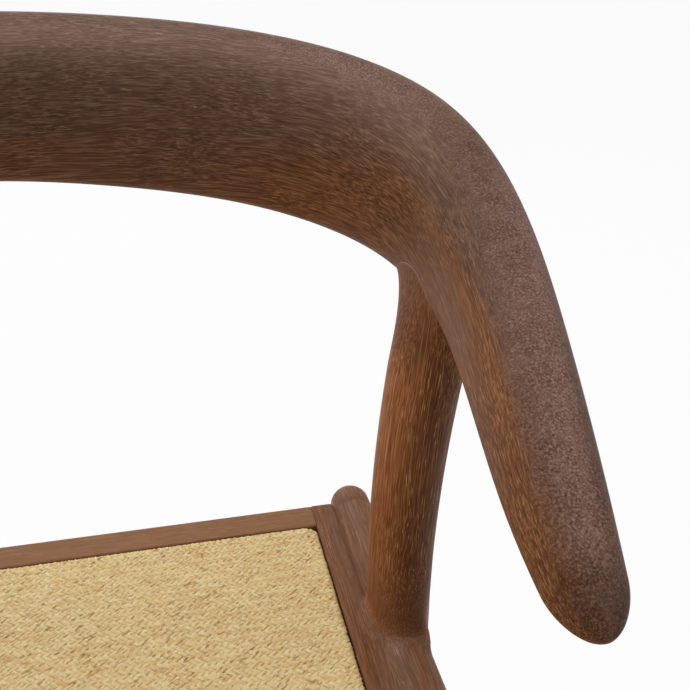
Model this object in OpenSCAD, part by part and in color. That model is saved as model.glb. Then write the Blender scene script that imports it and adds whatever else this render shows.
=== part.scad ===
// Armchair with a sculpted back-and-arm rail, curved rear legs and a woven palm mat seat.
// Millimetres. X runs across the chair, Y from the front to the back, Z up from the floor.
// The origin is on the floor, under the middle of the chair.

/* [Seat frame] */
// Height of the top of the seat frame above the floor
seat_h = 445; // [400:1:480]
// Distance between the inner faces of the two side rails
seat_inner_w = 417; // [380:1:460]
// Depth of the seat frame from the front face to the rear face
frame_d = 440; // [400:1:480]
// Thickness of each inner side rail
side_rail_t = 18; // [16:0.5:24]
// Thickness of the front and rear rails
cross_rail_t = 23; // [20:0.5:30]
// Height of the seat rails
rail_h = 46; // [40:1:56]
// Width of the rounded outer bar beside each side rail
bar_w = 29.5; // [24:0.5:34]
// Height of the outer bar
bar_h = 42; // [36:1:50]
// How far the crown of the outer bar rises above the seat frame
bar_rise = 1; // [0:0.5:4]
// How far the outer bar runs past the frame at the front
bar_front_run = 17; // [8:1:24]
// How far the outer bar runs past the frame at the rear
bar_rear_run = 28; // [18:1:34]
// Radius of the rounded top outer edge of the side rail
rail_edge_r = 5; // [2:0.5:7]

/* [Legs] */
// Diameter of the rear leg where it passes the seat frame
leg_d = 39.6; // [36:0.2:44]
// Diameter of the rear leg just under the arm
post_top_d = 42.4; // [38:0.2:46]
// Diameter of each foot
foot_d = 27; // [24:0.5:32]
// Distance of the rear leg's axis ahead of the rear face of the frame
rear_leg_setback = 109.7; // [90:0.1:130]
// Distance of the rear leg's axis outboard of the side rail
leg_offset = 18.5; // [18.4:0.1:22]
// How far the rear foot stands outboard of the leg's place at the seat
foot_out = 15; // [0:0.5:24]
// How far the rear foot stands behind the leg's place at the seat
foot_back = 72; // [35:1:90]
// Distance of the front leg's axis behind the front face of the frame
front_leg_setback = 44; // [34:1:70]
// Diameter of the front leg at its thickest
front_leg_d = 36; // [32:0.5:40]
// How far the front foot stands ahead of the top of its leg
front_foot_ahead = 14; // [0:0.5:24]
// Diameter of the round tenon on the front leg
leg_tenon_d = 18; // [16:0.5:20]
// Length of the round tenon on the front leg
leg_tenon_l = 26; // [20:1:28]
// Height over which the post spreads into the arm
flare_h = 34; // [24:1:44]

/* [Back and arm rail] */
// Half of the widest span of the rail's centre line
rail_span = 272; // [255:1:290]
// Distance along Y from the tips of the arms to the back of the rail's centre line
rail_run = 384; // [360:1:410]
// Distance of the rail's rearmost guide point behind the seat frame
rail_behind = 46; // [30:1:60]
// Height of the arm tips above the seat frame
tip_h = 184; // [170:1:200]
// How much higher the back runs than the arm tips
back_lift = 112; // [95:1:130]
// Height of the back rail's section
back_rail_h = 100; // [85:1:110]
// Thickness of the back rail's section
back_rail_t = 34; // [30:0.5:40]
// Width of the arm's section at its widest
arm_w = 43.5; // [40:0.5:50]
// Lean of the back rail's section at the middle of the back, in degrees
back_lean = 8; // [4:0.5:12]
// Length of the rounded end of each arm
tip_round = 22; // [16:1:28]
// Place of the joint between the back rail and the arm, as a share of the way to the tip
joint_share = 0.5; // [0.46:0.005:0.505]
// Place of the post under the arm, as a share of the way to the tip
post_share = 0.5615; // [0.55:0.0005:0.575]
// Length of the loose tenon in each rail joint
tenon_l = 50; // [40:1:54]
// Height of the loose tenon
tenon_h = 40; // [30:1:46]
// Thickness of the loose tenon
tenon_t = 10; // [8:0.5:12]
// Diameter of the dowel between post and arm
arm_dowel_d = 10; // [8:0.5:12]
// Length of the dowel between post and arm
arm_dowel_l = 50; // [40:1:56]

/* [Seat] */
// Thickness of the seat board
board_t = 9; // [6:0.5:12]
// Thickness of the woven mat
mat_t = 3; // [2:0.25:5]
// How far the mat stands above the seat frame
mat_proud = 0.5; // [0:0.25:2]
// Gap between the seat and the frame all round
seat_gap = 1.5; // [1:0.25:3]
// Radius of the seat's corners
seat_corner_r = 11; // [6:1:20]
// How far the edge of the board lies inside the edge of the mat
board_inset = 0.5; // [0.5:0.25:2]
// Width of the cleats that carry the seat board
cleat_w = 16; // [12:0.5:20]
// Height of the cleats and the corner blocks
cleat_h = 20; // [16:0.5:22]
// Length of the sides of each corner block
block_leg = 62; // [50:1:72]
// Gap between a corner block and the end of a cleat
block_gap = 4; // [2:1:8]

/* [Fixings] */
// Diameter of the dowels in the seat frame
dowel_d = 8; // [6:0.5:10]
// Length of the dowels in the seat frame
dowel_l = 38; // [32:1:44]
// Depth of the dowels in the side rails
dowel_in_side = 13; // [10:0.5:14]
// Distance of the dowels from the top and bottom edges of the rails
dowel_edge = 13; // [10:0.5:14]
// Diameter of the screws
screw_d = 4; // [3.5:0.25:4.5]
// Diameter of the screw heads
screw_head_d = 8; // [7:0.5:9]
// Depth of the side rail's screws in the outer bar
bar_screw_in = 16; // [12:0.5:20]
// Depth of the side rail's screws in the rear leg
leg_screw_in = 18; // [14:0.5:22]
// Depth of the cleats' and blocks' screws in the rails
cleat_screw_in = 12; // [8:0.5:14]
// Depth of the seat screws in the seat board
seat_screw_in = 6; // [4:0.25:6]
// Thickness of the foot glides
glide_t = 4; // [3.5:0.5:6]
// Diameter of the foot glides
glide_d = 23; // [18:0.5:23.5]
// Diameter of the glide nails
nail_d = 2.5; // [2:0.25:3]
// Diameter of the glide nails' heads
nail_head_d = 8; // [6:0.5:10]
// Thickness of the glide nails' heads
nail_head_t = 1.5; // [1:0.25:2]
// Length of the glide nails
nail_l = 20; // [16:1:30]
// Clearance round dowels, tenons and screws
fit_gap = 0.1; // [0.05:0.05:0.2]
// Clearance between shaped faces
face_gap = 0.2; // [0.15:0.05:0.3]

/* [Hidden] */
$fn = 48;

// Colours
walnut = [0.38, 0.24, 0.17];
walnut_light = [0.46, 0.31, 0.22];
beech = [0.78, 0.62, 0.44];
ply = [0.80, 0.68, 0.50];
straw = [0.81, 0.70, 0.50];
steel = [0.66, 0.66, 0.68];
nylon = [0.20, 0.19, 0.18];

// Guide points of the rail, from the middle of the back to the tip of the arm.
// Across, along and up are shares of the span, the run and the lift.
guide_across = [0, 0.355, 0.705, 0.95, 1, 0.965, 0.917, 0.903];
guide_along = [1, 0.982, 0.914, 0.745, 0.532, 0.324, 0.129, 0];
guide_up = [1, 0.954, 0.866, 0.728, 0.541, 0.341, 0.154, 0];
// Half thickness of the section as a share of half of the back rail's thickness
// for the first guides, and of half of the arm's width for the rest.
guide_thick = [0.976, 1.01, 1.07, 0.91, 0.99, 1, 0.91, 0.60];
arm_guides_from = 3;
// Half height of the section as a share of half of the back rail's height
guide_high = [0.956, 1, 1.012, 0.952, 0.746, 0.534, 0.33, 0.13];
// Lean in degrees added to the lean at the middle of the back
guide_lean = [0.4, 6.2, 11, 11.9, 8, 2.6, -0.7, 0];
last_guide = len(guide_across) - 1;
// Places of the joint and the post in guide points from the middle
joint_at = joint_share * last_guide;
post_at = post_share * last_guide;
// Power of the section's rounded outline
section_power = 2.4;
// The post's oval on the arm: its middle round the section, half its length along the rail
// in guide points and half its width round the section in degrees
mark_a = -96;
mark_half = 0.40;
mark_span = 52;

// The chair's middle in Y is the middle of its overall depth.
lean_mid = (4 * (back_lean + guide_lean[0]) + 2 * (back_lean + guide_lean[1])) / 6;
thick_mid = (4 * guide_half_t(0) + 2 * guide_half_t(1)) / 6;
high_mid = back_rail_h / 2 * (4 * guide_high[0] + 2 * guide_high[1]) / 6;
support_power = section_power / (section_power - 1);
rail_back_reach = pow(pow(thick_mid * cos(lean_mid), support_power)
    + pow(high_mid * sin(lean_mid), support_power), 1 / support_power);
rail_mid_y = rail_behind + rail_run * ((4 * guide_along[0] + 2 * guide_along[1]) / 6 - 1);
overall_d = bar_front_run + frame_d + rail_mid_y + rail_back_reach;
frame_rear_y = overall_d / 2 - rail_mid_y - rail_back_reach;
frame_front_y = frame_rear_y - frame_d;
tip_y = frame_rear_y + rail_behind - rail_run;

// Places across the seat frame
inner_x = seat_inner_w / 2;
bar_in_x = inner_x + side_rail_t;
bar_mid_x = bar_in_x + bar_w / 2;
bar_r = bar_w / 2;
lap_x = bar_mid_x;
leg_x0 = bar_in_x + leg_offset;
leg_y0 = frame_rear_y - rear_leg_setback;
front_leg_y = frame_front_y + front_leg_setback;
bar_top_z = seat_h + bar_rise;
bar_bottom_z = bar_top_z - bar_h;
crown_z = bar_top_z - bar_r;

// Heights of the seat
board_top_z = seat_h + mat_proud - mat_t;
board_bottom_z = board_top_z - board_t;
cleat_mid_z = board_bottom_z - cleat_h / 2;
seat_front_y = frame_front_y + cross_rail_t;
seat_rear_y = frame_rear_y - cross_rail_t;
seat_mid_y = (seat_front_y + seat_rear_y) / 2;
seat_d = seat_rear_y - seat_front_y - 2 * seat_gap;
seat_w = seat_inner_w - 2 * seat_gap;

// How finely the shaped pieces are cut
sides = 32;
leg_sides = 32;
ring_step = 0.175;

// Cubic blending of four guide values and its rate of change
function blend(u) = [pow(1 - u, 3), 3 * pow(u, 3) - 6 * u * u + 4,
    -3 * pow(u, 3) + 3 * u * u + 3 * u + 1, pow(u, 3)] / 6;
function blend_rate(u) = [-(1 - u) * (1 - u), 3 * u * u - 4 * u,
    -3 * u * u + 2 * u + 1, u * u] / 2;
function guide_row(i) = [rail_span * guide_across[i],
    tip_y + rail_run * guide_along[i],
    seat_h + tip_h + back_lift * guide_up[i],
    guide_half_t(i),
    back_rail_h / 2 * guide_high[i],
    back_lean + guide_lean[i]];
function guide_half_t(i) = guide_thick[i] * (i < arm_guides_from ? back_rail_t : arm_w) / 2;
function mirror_row(r) = [-r[0], r[1], r[2], r[3], r[4], r[5]];
function row_at(i) = i < 0 ? mirror_row(guide_row(-i))
    : i > last_guide ? 2 * guide_row(last_guide) - guide_row(last_guide - 1)
    : guide_row(i);
function mix_rows(w, i) = w[0] * row_at(i - 1) + w[1] * row_at(i)
    + w[2] * row_at(i + 1) + w[3] * row_at(i + 2);
function span_of(t) = min(floor(t), last_guide - 1);
function rail_at(t) = mix_rows(blend(t - span_of(t)), span_of(t));
function unit(v) = v / norm(v);
function rail_dir(t) = let(r = mix_rows(blend_rate(t - span_of(t)), span_of(t)))
    unit([r[0], r[1], r[2]]);
function rail_out(t) = let(d = rail_dir(t)) unit([-d[1], d[0], 0]);
function lean_out(t) = let(l = rail_at(t)[5])
    cos(l) * rail_out(t) - sin(l) * cross(rail_dir(t), rail_out(t));
function lean_up(t) = let(l = rail_at(t)[5])
    sin(l) * rail_out(t) + cos(l) * cross(rail_dir(t), rail_out(t));
function soft(c) = sign(c) * pow(abs(c), 2 / section_power);
// Point on the rail's surface: t along it, a round it, k the share of full size
function rail_point(t, a, k = 1) = let(r = rail_at(t))
    [r[0], r[1], r[2]] + k * r[3] * soft(cos(a)) * lean_out(t)
    + k * r[4] * soft(sin(a)) * lean_up(t);
function rail_ring(t, k = 1) = [for (i = [0 : sides - 1]) rail_point(t, 360 * i / sides, k)];
// Ring on the other side of the chair, in the same order round the section
function flip_ring(ring) = [for (p = ring) [-p[0], p[1], p[2]]];

// Where the rounded end of the arm starts
tip_from = last_guide - tip_round
    / norm([for (j = [0 : 2]) rail_at(last_guide)[j] - rail_at(last_guide - 1)[j]]);
function tip_t(a) = tip_from + (last_guide - tip_from) * sin(a);

// The post's axis ends a little outboard, ahead of and below its place on the arm's surface.
post_seat = rail_point(post_at, mark_a);
post_end_out = 3;
post_end_ahead = 5;
post_end_drop = 4;
post_h = post_seat[2] - post_end_drop - seat_h;
post_out = post_seat[0] + post_end_out - leg_x0;
post_ahead = leg_y0 - post_seat[1] + post_end_ahead;
foot_taper_power = 1.3;

// Axis and radius of the rear leg at height h above the seat frame
function leg_axis_x(h) = leg_x0 - foot_out * h / seat_h
    + (h > 0 ? (post_out + foot_out * post_h / seat_h) * pow(h / post_h, 2) : 0);
function leg_axis_y(h) = leg_y0 - post_ahead * h / post_h
    + (h < 0 ? (foot_back - post_ahead * seat_h / post_h) * pow(h / seat_h, 2) : 0);
function leg_r(h) = h > 0 ? leg_d / 2 + (post_top_d - leg_d) / 2 * h / post_h
    : leg_d / 2 - (leg_d - foot_d) / 2 * pow(-h / seat_h, foot_taper_power);
function leg_ring(h) = [for (i = [0 : leg_sides - 1])
    [leg_axis_x(h) + leg_r(h) * cos(360 * i / leg_sides),
     leg_axis_y(h) + leg_r(h) * sin(360 * i / leg_sides), seat_h + h]];

// The post flares into an oval on the underside of the arm.
flare_from = post_h - flare_h;
flare_pull = 1.6;
// Point on the oval: b round it, k the share of its size, off the surface by face_gap
function mark_point(b, k) = let(
    t = post_at - mark_half * k * sin(b),
    a = mark_a + mark_span * k * cos(b),
    p = rail_point(t, a), q = rail_point(t, a, 0.9))
    p + face_gap * unit(p - q);
function mark_ring(k) = [for (i = [0 : leg_sides - 1]) mark_point(360 * i / leg_sides, k)];
// Curve from the post to the oval that leaves along the post and arrives along the arm
function hermite(p, q, dp, dq, u) = (2 * pow(u, 3) - 3 * u * u + 1) * p
    + (pow(u, 3) - 2 * u * u + u) * dp + (-2 * pow(u, 3) + 3 * u * u) * q
    + (pow(u, 3) - u * u) * dq;
function flare_point(i, u) = let(
    low = leg_ring(flare_from)[i], below = leg_ring(flare_from - 1)[i],
    high = mark_ring(1)[i], inside = mark_ring(0.8)[i])
    hermite(low, high, flare_h * (low - below), flare_pull * (high - inside), u);
function flare_ring(u) = [for (i = [0 : leg_sides - 1]) flare_point(i, u)];

// Solid through a list of rings with the same number of points
module loft(rings) {
    n = len(rings[0]);
    m = len(rings);
    walls = [for (j = [0 : m - 2]) for (i = [0 : n - 1]) let(k = (i + 1) % n)
        each [[j * n + i, j * n + k, (j + 1) * n + k], [j * n + i, (j + 1) * n + k, (j + 1) * n + i]]];
    low_cap = [for (i = [n - 1 : -1 : 0]) i];
    high_cap = [for (i = [0 : n - 1]) (m - 1) * n + i];
    polyhedron(points = [for (r = rings) each r],
        faces = [for (f = concat(walls, [low_cap, high_cap])) [for (i = [len(f) - 1 : -1 : 0]) f[i]]],
        convexity = 6);
}

// Copies on both sides of the chair
module both_sides() {
    children();
    mirror([1, 0, 0]) children();
}

// Cylinder from one point towards another
module rod(from, to, d) {
    v = to - from;
    translate(from)
        rotate([0, acos(v[2] / norm(v)), atan2(v[1], v[0])])
            cylinder(d = d, h = norm(v));
}

// Countersunk screw from its head towards its point. As a hole it has room round it
// and a bore over the head, sink deep.
module screw(from, to, room = 0, sink = 0) {
    v = unit(to - from);
    head_h = (screw_head_d - screw_d) / 2;
    translate(from)
        rotate([0, acos(v[2]), atan2(v[1], v[0])]) {
            cylinder(d1 = screw_head_d + 2 * room, d2 = screw_d + 2 * room, h = head_h);
            cylinder(d = screw_d + 2 * room, h = norm(to - from) + room);
            if (room > 0)
                translate([0, 0, -sink - room])
                    cylinder(d = screw_head_d + 2 * room, h = sink + 2 * room);
        }
}

// Rail pieces
back_half = [for (t = [0 : ring_step : joint_at - 0.01]) t];
module back_rail() {
    right = [for (t = concat(back_half, [joint_at])) rail_ring(t)];
    left = [for (j = [len(right) - 1 : -1 : 1]) flip_ring(right[j])];
    color(walnut) difference() {
        loft(concat(left, right));
        both_sides() joint_tenon(fit_gap);
    }
}
arm_steps = concat([for (t = [joint_at : ring_step : tip_from - 0.1]) t],
    [for (a = [0 : 12 : 84]) tip_t(a)]);
module right_arm() {
    rings = [for (t = arm_steps) rail_ring(t, t < tip_from ? 1
        : sqrt(max(0, 1 - pow((t - tip_from) / (last_guide - tip_from), 2))))];
    color(walnut) difference() {
        loft(rings);
        joint_tenon(fit_gap);
        arm_dowel(fit_gap);
    }
}
module left_arm() {
    mirror([1, 0, 0]) right_arm();
}
// Loose tenon across the joint between back rail and arm
module joint_tenon(room = 0) {
    c = rail_at(joint_at);
    d = rail_dir(joint_at);
    o = lean_out(joint_at);
    u = lean_up(joint_at);
    multmatrix([[d[0], o[0], u[0], c[0]], [d[1], o[1], u[1], c[1]], [d[2], o[2], u[2], c[2]]])
        cube([tenon_l + 2 * room, tenon_t + 2 * room, tenon_h + 2 * room], center = true);
}
module rail_tenons() {
    color(beech) both_sides() joint_tenon();
}
// Dowel along the post into the arm
dowel_dir = unit([leg_axis_x(post_h) - leg_axis_x(flare_from),
    leg_axis_y(post_h) - leg_axis_y(flare_from), flare_h]);
module arm_dowel(room = 0) {
    half = (arm_dowel_l + 2 * room) / 2;
    rod(post_seat - half * dowel_dir, post_seat + half * dowel_dir, arm_dowel_d + 2 * room);
}
module arm_dowels() {
    color(beech) both_sides() arm_dowel();
}

// Legs
leg_heights = [for (k = [0 : 7]) -(seat_h - glide_t) + k * (seat_h - glide_t) / 8];
post_heights = [for (k = [0 : 6]) k * flare_from / 6];
module right_rear_leg() {
    color(walnut_light) difference() {
        loft(concat([for (h = concat(leg_heights, post_heights)) leg_ring(h)],
            [for (k = [1 : 8]) flare_ring(k / 8)],
            [for (k = [0.8, 0.6, 0.4, 0.2]) mark_ring(k)]));
        lap_in_leg();
        arm_dowel(fit_gap);
        leg_screw_pair(fit_gap);
        glide_nail_at(rear_foot, fit_gap);
    }
}
module left_rear_leg() {
    mirror([1, 0, 0]) right_rear_leg();
}
rear_foot = [leg_axis_x(-seat_h), leg_axis_y(-seat_h), 0];
front_foot = [bar_mid_x, front_leg_y - front_foot_ahead, 0];
front_leg_top = [bar_mid_x, front_leg_y, bar_bottom_z];
// The front leg swells between its foot and a neck as wide as the outer bar.
front_lean = atan2(front_foot_ahead, bar_bottom_z);
front_leg_l = bar_bottom_z / cos(front_lean);
neck_d = bar_w - 2 * face_gap;
neck_h = bar_bottom_z - (seat_h - rail_h) + face_gap;
front_steps = 12;
function front_leg_r(k) = foot_d / 2 + (neck_d - foot_d) / 2 * k
    + (front_leg_d / 2 - (neck_d + foot_d) / 4) * sin(180 * k);
module front_leg_turning() {
    rotate_extrude()
        polygon(concat([[0, 0]],
            [for (i = [0 : front_steps]) [front_leg_r(i / front_steps),
                (front_leg_l - neck_h) * i / front_steps]],
            [[neck_d / 2, front_leg_l + foot_d], [0, front_leg_l + foot_d]]));
}
module right_front_leg() {
    color(walnut_light) difference() {
        union() {
            intersection() {
                translate(front_foot) rotate([-front_lean, 0, 0]) front_leg_turning();
                translate([bar_mid_x - front_leg_d, front_leg_y - 2 * front_leg_d, glide_t])
                    cube([2 * front_leg_d, 4 * front_leg_d, bar_bottom_z - glide_t]);
            }
            translate([0, 0, -1]) front_tenon(1);
        }
        glide_nail_at(front_foot, fit_gap);
    }
}
// Round tenon on top of the front leg, longer than it shows by extra
module front_tenon(extra = 0, room = 0) {
    translate(front_leg_top)
        cylinder(d = leg_tenon_d + 2 * room, h = leg_tenon_l + extra + room);
}
module left_front_leg() {
    mirror([1, 0, 0]) right_front_leg();
}

// Outer bar before the joints are cut: upright ends below, a round crown and domed ends above
module bar_solid() {
    y0 = frame_front_y - bar_front_run + bar_r;
    y1 = frame_rear_y + bar_rear_run - bar_r;
    for (y = [y0, y1]) {
        translate([bar_mid_x, y, bar_bottom_z]) cylinder(r = bar_r, h = crown_z - bar_bottom_z);
        translate([bar_mid_x, y, crown_z]) sphere(r = bar_r);
    }
    translate([bar_in_x, y0, bar_bottom_z]) cube([bar_w, y1 - y0, crown_z - bar_bottom_z]);
    translate([bar_mid_x, y1, crown_z]) rotate([90, 0, 0]) cylinder(r = bar_r, h = y1 - y0);
}
// Notch in the bar that takes the outer half of the rear leg
module leg_notch() {
    half = leg_d / 2 + face_gap;
    y0 = leg_axis_y(bar_rise) - half;
    y1 = leg_axis_y(bar_bottom_z - seat_h) + half;
    translate([lap_x, y0, bar_bottom_z - 1]) cube([bar_w, y1 - y0, bar_h + 2]);
}
// Inner half of the bar and the side rail beside it, which the rear leg is cut away for
module lap_in_leg() {
    translate([bar_in_x - leg_d, leg_y0 - leg_d, bar_bottom_z - face_gap])
        cube([leg_d + face_gap, 2 * leg_d, seat_h - bar_bottom_z + 2 * face_gap]);
    intersection() {
        translate([bar_mid_x, leg_y0 + leg_d, crown_z]) rotate([90, 0, 0])
            cylinder(r = bar_r + face_gap, h = 2 * leg_d);
        translate([bar_in_x - leg_d, leg_y0 - 2 * leg_d, bar_bottom_z])
            cube([leg_d + bar_w / 2 + face_gap, 4 * leg_d, 2 * bar_h]);
    }
    translate([bar_in_x - leg_d, leg_y0 - leg_d, bar_bottom_z - face_gap])
        cube([leg_d + bar_w / 2 + face_gap, 2 * leg_d, crown_z - bar_bottom_z + face_gap]);
}
module right_outer_bar() {
    color(walnut) difference() {
        bar_solid();
        leg_notch();
        translate([0, 0, -1]) front_tenon(1, fit_gap);
        bar_screw_row(fit_gap);
        leg_screw_pair(fit_gap);
    }
}
module left_outer_bar() {
    mirror([1, 0, 0]) right_outer_bar();
}

// Seat frame rails
// What is taken off to round the side rail's top outer edge
module rail_edge_cut() {
    translate([bar_in_x - rail_edge_r, frame_front_y - 1, seat_h - rail_edge_r]) difference() {
        cube([rail_edge_r + 1, frame_d + 2, rail_edge_r + 1]);
        translate([0, -1, 0]) rotate([-90, 0, 0]) cylinder(r = rail_edge_r, h = frame_d + 4);
    }
}
module right_side_rail() {
    color(walnut) difference() {
        translate([inner_x, frame_front_y, seat_h - rail_h]) cube([side_rail_t, frame_d, rail_h]);
        rail_edge_cut();
        rail_dowel_set(fit_gap);
        bar_screw_row(fit_gap);
        leg_screw_pair(fit_gap);
        side_cleat_screws(fit_gap);
        block_screw_set(fit_gap);
    }
}
module left_side_rail() {
    mirror([1, 0, 0]) right_side_rail();
}
module cross_rail(y) {
    color(walnut) difference() {
        translate([-inner_x, y, seat_h - rail_h]) cube([seat_inner_w, cross_rail_t, rail_h]);
        both_sides() rail_dowel_set(fit_gap);
        cross_cleat_screws(fit_gap);
        both_sides() block_screw_set(fit_gap);
    }
}
module rear_seat_rail() {
    cross_rail(seat_rear_y);
}
module front_seat_rail() {
    cross_rail(frame_front_y);
}

// Dowels between the cross rails and one side rail
module rail_dowel_set(room = 0) {
    for (y = [frame_front_y + cross_rail_t / 2, frame_rear_y - cross_rail_t / 2])
        for (z = [seat_h - dowel_edge, seat_h - rail_h + dowel_edge])
            rod([inner_x + dowel_in_side + room, y, z],
                [inner_x + dowel_in_side - dowel_l - room, y, z], dowel_d + 2 * room);
}
module frame_dowels() {
    color(beech) both_sides() rail_dowel_set();
}

// Ends of the cleats, which the screws are spaced by
side_cleat_front = seat_front_y + block_leg + block_gap;
side_cleat_rear = seat_rear_y - block_leg - block_gap;
cross_cleat_half = inner_x - block_leg - block_gap;
function along_side(k) = side_cleat_front + k * (side_cleat_rear - side_cleat_front);

// Screws from the side rail into the outer bar
bar_screw_shares = [0.06, 0.36, 0.52];
bar_screw_z = (bar_bottom_z + crown_z) / 2;
module bar_screw_row(room = 0) {
    for (k = bar_screw_shares)
        screw([inner_x, along_side(k), bar_screw_z],
            [bar_in_x + bar_screw_in, along_side(k), bar_screw_z], room);
}
module bar_screws() {
    color(steel) both_sides() bar_screw_row();
}
// Screws from the side rail through the lap into the rear leg, above each other
leg_screw_step = 14;
module leg_screw_pair(room = 0) {
    for (z = [bar_screw_z - leg_screw_step / 2, bar_screw_z + leg_screw_step / 2])
        screw([inner_x, leg_y0, z], [lap_x + leg_screw_in, leg_y0, z], room);
}
module leg_screws() {
    color(steel) both_sides() leg_screw_pair();
}

// Cleats and corner blocks that carry the seat board
side_screw_shares = [0.2, 0.68];
cross_screw_share = 0.7;
module side_cleat_screws(room = 0) {
    for (k = side_screw_shares)
        screw([inner_x - cleat_w, along_side(k), cleat_mid_z],
            [inner_x + cleat_screw_in, along_side(k), cleat_mid_z], room);
}
module cross_cleat_screws(room = 0) {
    for (x = [-1, 1] * cross_screw_share * cross_cleat_half) {
        screw([x, seat_front_y + cleat_w, cleat_mid_z],
            [x, seat_front_y - cleat_screw_in, cleat_mid_z], room);
        screw([x, seat_rear_y - cleat_w, cleat_mid_z],
            [x, seat_rear_y + cleat_screw_in, cleat_mid_z], room);
    }
}
module right_cleat() {
    color(beech) difference() {
        translate([inner_x - cleat_w, side_cleat_front, board_bottom_z - cleat_h])
            cube([cleat_w, side_cleat_rear - side_cleat_front, cleat_h]);
        side_cleat_screws(fit_gap);
    }
}
module left_cleat() {
    mirror([1, 0, 0]) right_cleat();
}
module cross_cleat(y) {
    color(beech) difference() {
        translate([-cross_cleat_half, y, board_bottom_z - cleat_h])
            cube([2 * cross_cleat_half, cleat_w, cleat_h]);
        cross_cleat_screws(fit_gap);
    }
}
module front_cleat() {
    cross_cleat(seat_front_y);
}
module rear_cleat() {
    cross_cleat(seat_rear_y - cleat_w);
}
module cleat_screws() {
    color(steel) {
        both_sides() side_cleat_screws();
        cross_cleat_screws();
    }
}
// Triangular block in each corner of the frame
module block_at(y, s) {
    translate([inner_x, y, board_bottom_z - cleat_h])
        linear_extrude(height = cleat_h)
            polygon([[0, 0], [-block_leg, 0], [0, s * block_leg]]);
}
// The block's screws start in bores in its slanted face and enter both rails square.
block_screw_at = block_leg * 0.7;
block_screw_sink = screw_head_d + 2;
block_screw_head = block_leg - block_screw_at - screw_head_d / 2 - 1;
module block_screw_set(room = 0) {
    for (c = [[seat_front_y, 1], [seat_rear_y, -1]]) {
        screw([inner_x - block_screw_at, c[0] + c[1] * block_screw_head, cleat_mid_z],
            [inner_x - block_screw_at, c[0] - c[1] * cleat_screw_in, cleat_mid_z],
            room, block_screw_sink);
        screw([inner_x - block_screw_head, c[0] + c[1] * block_screw_at, cleat_mid_z],
            [inner_x + cleat_screw_in, c[0] + c[1] * block_screw_at, cleat_mid_z],
            room, block_screw_sink);
    }
}
seat_screw_at = block_leg * 0.34;
module seat_screw_set(room = 0) {
    for (c = [[seat_front_y, 1], [seat_rear_y, -1]])
        screw([inner_x - seat_screw_at, c[0] + c[1] * seat_screw_at, board_bottom_z - cleat_h],
            [inner_x - seat_screw_at, c[0] + c[1] * seat_screw_at, board_bottom_z + seat_screw_in],
            room);
}
module corner_blocks() {
    color(beech) both_sides() difference() {
        union() {
            block_at(seat_front_y, 1);
            block_at(seat_rear_y, -1);
        }
        block_screw_set(fit_gap);
        seat_screw_set(fit_gap);
    }
}
module corner_block_screws() {
    color(steel) both_sides() block_screw_set();
}

// Seat board and woven mat
module seat_outline(inset = 0) {
    r = seat_corner_r;
    w = seat_w / 2 - inset;
    d = seat_d / 2 - inset;
    translate([0, seat_mid_y]) {
        for (x = [-w + r, w - r])
            for (y = [-d + r, d - r])
                translate([x, y]) circle(r = r);
        square([2 * (w - r), 2 * d], center = true);
        square([2 * w, 2 * (d - r)], center = true);
    }
}
module seat_board() {
    color(ply) difference() {
        translate([0, 0, board_bottom_z]) linear_extrude(height = board_t)
            seat_outline(board_inset);
        both_sides() seat_screw_set(fit_gap);
    }
}
module seat_screws() {
    color(steel) both_sides() seat_screw_set();
}
module seat_mat() {
    color(straw) translate([0, 0, board_top_z]) linear_extrude(height = mat_t) seat_outline();
}

// Foot glides moulded round the heads of their nails
nail_sink = 1.5;
module glide_at(foot) {
    difference() {
        translate(foot) cylinder(d = glide_d, h = glide_t);
        glide_nail_at(foot, fit_gap);
    }
}
module glide_nail_at(foot, room = 0) {
    translate(foot + [0, 0, nail_sink - room]) {
        cylinder(d = nail_head_d + 2 * room, h = nail_head_t + 2 * room);
        cylinder(d = nail_d + 2 * room, h = nail_l + 2 * room);
    }
}
module foot_glides() {
    color(nylon) both_sides() {
        glide_at(rear_foot);
        glide_at(front_foot);
    }
}
module glide_nails() {
    color(steel) both_sides() {
        glide_nail_at(rear_foot);
        glide_nail_at(front_foot);
    }
}

back_rail();
left_arm();
right_arm();
rail_tenons();
arm_dowels();
left_rear_leg();
right_rear_leg();
left_front_leg();
right_front_leg();
left_outer_bar();
right_outer_bar();
left_side_rail();
right_side_rail();
rear_seat_rail();
front_seat_rail();
frame_dowels();
bar_screws();
leg_screws();
left_cleat();
right_cleat();
front_cleat();
rear_cleat();
cleat_screws();
corner_blocks();
corner_block_screws();
seat_board();
seat_screws();
seat_mat();
foot_glides();
glide_nails();
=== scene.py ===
import math

import bpy
import numpy as np
from mathutils import Matrix, Vector


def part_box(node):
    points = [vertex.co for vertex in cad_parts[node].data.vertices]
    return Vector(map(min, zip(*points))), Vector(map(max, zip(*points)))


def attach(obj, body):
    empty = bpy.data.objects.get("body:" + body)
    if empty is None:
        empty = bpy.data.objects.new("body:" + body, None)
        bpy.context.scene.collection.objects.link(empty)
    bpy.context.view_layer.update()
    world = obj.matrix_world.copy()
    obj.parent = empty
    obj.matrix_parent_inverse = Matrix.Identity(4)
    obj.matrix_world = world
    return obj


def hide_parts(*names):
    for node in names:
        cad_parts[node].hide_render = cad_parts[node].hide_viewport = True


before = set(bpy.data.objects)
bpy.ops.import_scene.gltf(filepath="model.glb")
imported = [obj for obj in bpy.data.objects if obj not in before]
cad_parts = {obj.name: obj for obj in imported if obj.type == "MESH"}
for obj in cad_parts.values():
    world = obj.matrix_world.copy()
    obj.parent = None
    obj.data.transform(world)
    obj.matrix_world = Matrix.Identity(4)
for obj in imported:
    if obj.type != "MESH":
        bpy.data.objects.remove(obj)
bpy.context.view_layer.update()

# Lengths are in millimetres until a mesh is written, which is in metres.
MM = 0.001


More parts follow.
